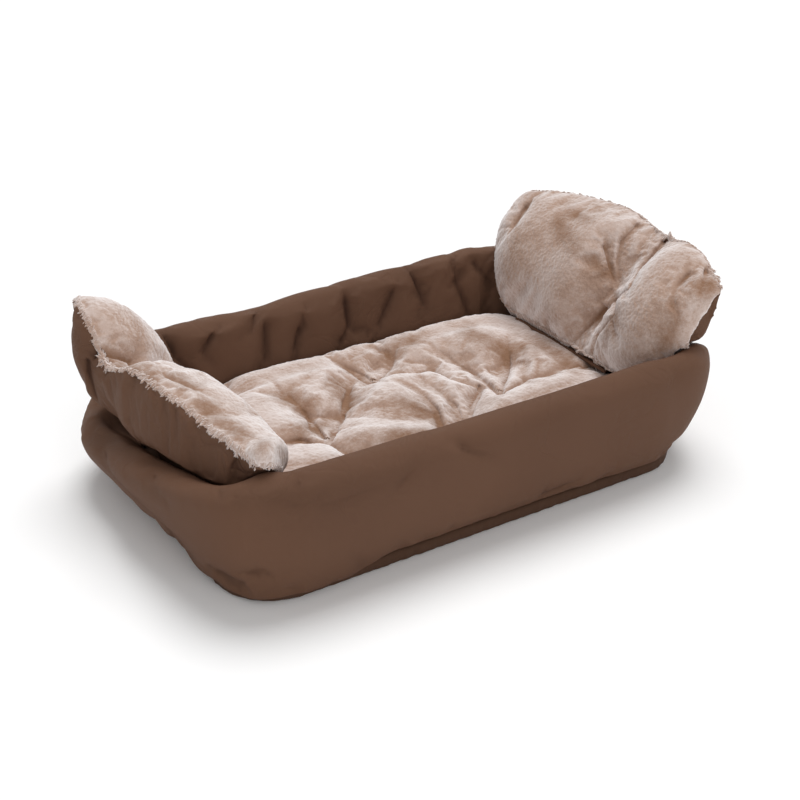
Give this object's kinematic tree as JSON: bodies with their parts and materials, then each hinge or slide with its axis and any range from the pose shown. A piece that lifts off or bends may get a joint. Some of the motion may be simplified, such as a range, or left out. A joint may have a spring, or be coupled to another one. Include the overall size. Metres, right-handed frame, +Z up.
{
  "type": "dog sofa bed",
  "caption": "Oblong padded pet bed: a nylon tub with rounded walls, a lift-out tufted plush mattress, and a hinged plush pillow leaning over each end.",
  "frame": {"origin": "centre of the tub base's flat underside, on the floor", "axes": "+X along the bed towards the end with the taller pillow, +Y towards the back wall, +Z up"},
  "size_m": [0.9585, 0.5488, 0.3108],
  "materials": {
    "nylon": "matte woven nylon, dark brown",
    "plush": "short brushed pile, warm beige",
    "wadding": "loose polyester fibre, off-white",
    "thread": "twisted sewing thread, beige"
  },
  "bodies": {
    "tub": {"base_underside": "nylon", "base_wadding": "wadding", "floor_lining": "nylon", "front_wall_cover": "nylon", "front_wall_fill": "wadding", "back_wall_cover": "nylon", "back_wall_fill": "wadding", "left_end_wall_cover": "nylon", "left_end_wall_fill": "wadding", "right_end_wall_cover": "nylon", "right_end_wall_fill": "wadding"},
    "mattress": {"mattress_plush": "plush", "mattress_backing": "nylon", "mattress_fill": "wadding", "tuft_ties": "thread", "left_hinge_strip": "nylon", "right_hinge_strip": "nylon"},
    "left_pillow": {"left_pillow_plush": "plush", "left_pillow_backing": "nylon", "left_pillow_back_fill": "wadding", "left_pillow_front_fill": "wadding"},
    "right_pillow": {"right_pillow_plush": "plush", "right_pillow_backing": "nylon", "right_pillow_back_fill": "wadding", "right_pillow_front_fill": "wadding"}
  },
  "joints": [
    {"name": "liner_lift", "type": "slide", "parent": "tub", "child": "mattress", "axis": [0, 0, 1], "range_m": [0, 0.25]},
    {"name": "left_pillow_fold", "type": "hinge", "parent": "mattress", "child": "left_pillow", "pos_m": [-0.3, 0, 0.1203], "axis": [0, 1, 0], "range_deg": [0, 40]},
    {"name": "right_pillow_fold", "type": "hinge", "parent": "mattress", "child": "right_pillow", "pos_m": [0.315, 0, 0.1203], "axis": [0, -1, 0], "range_deg": [0, 50]}
  ]
}
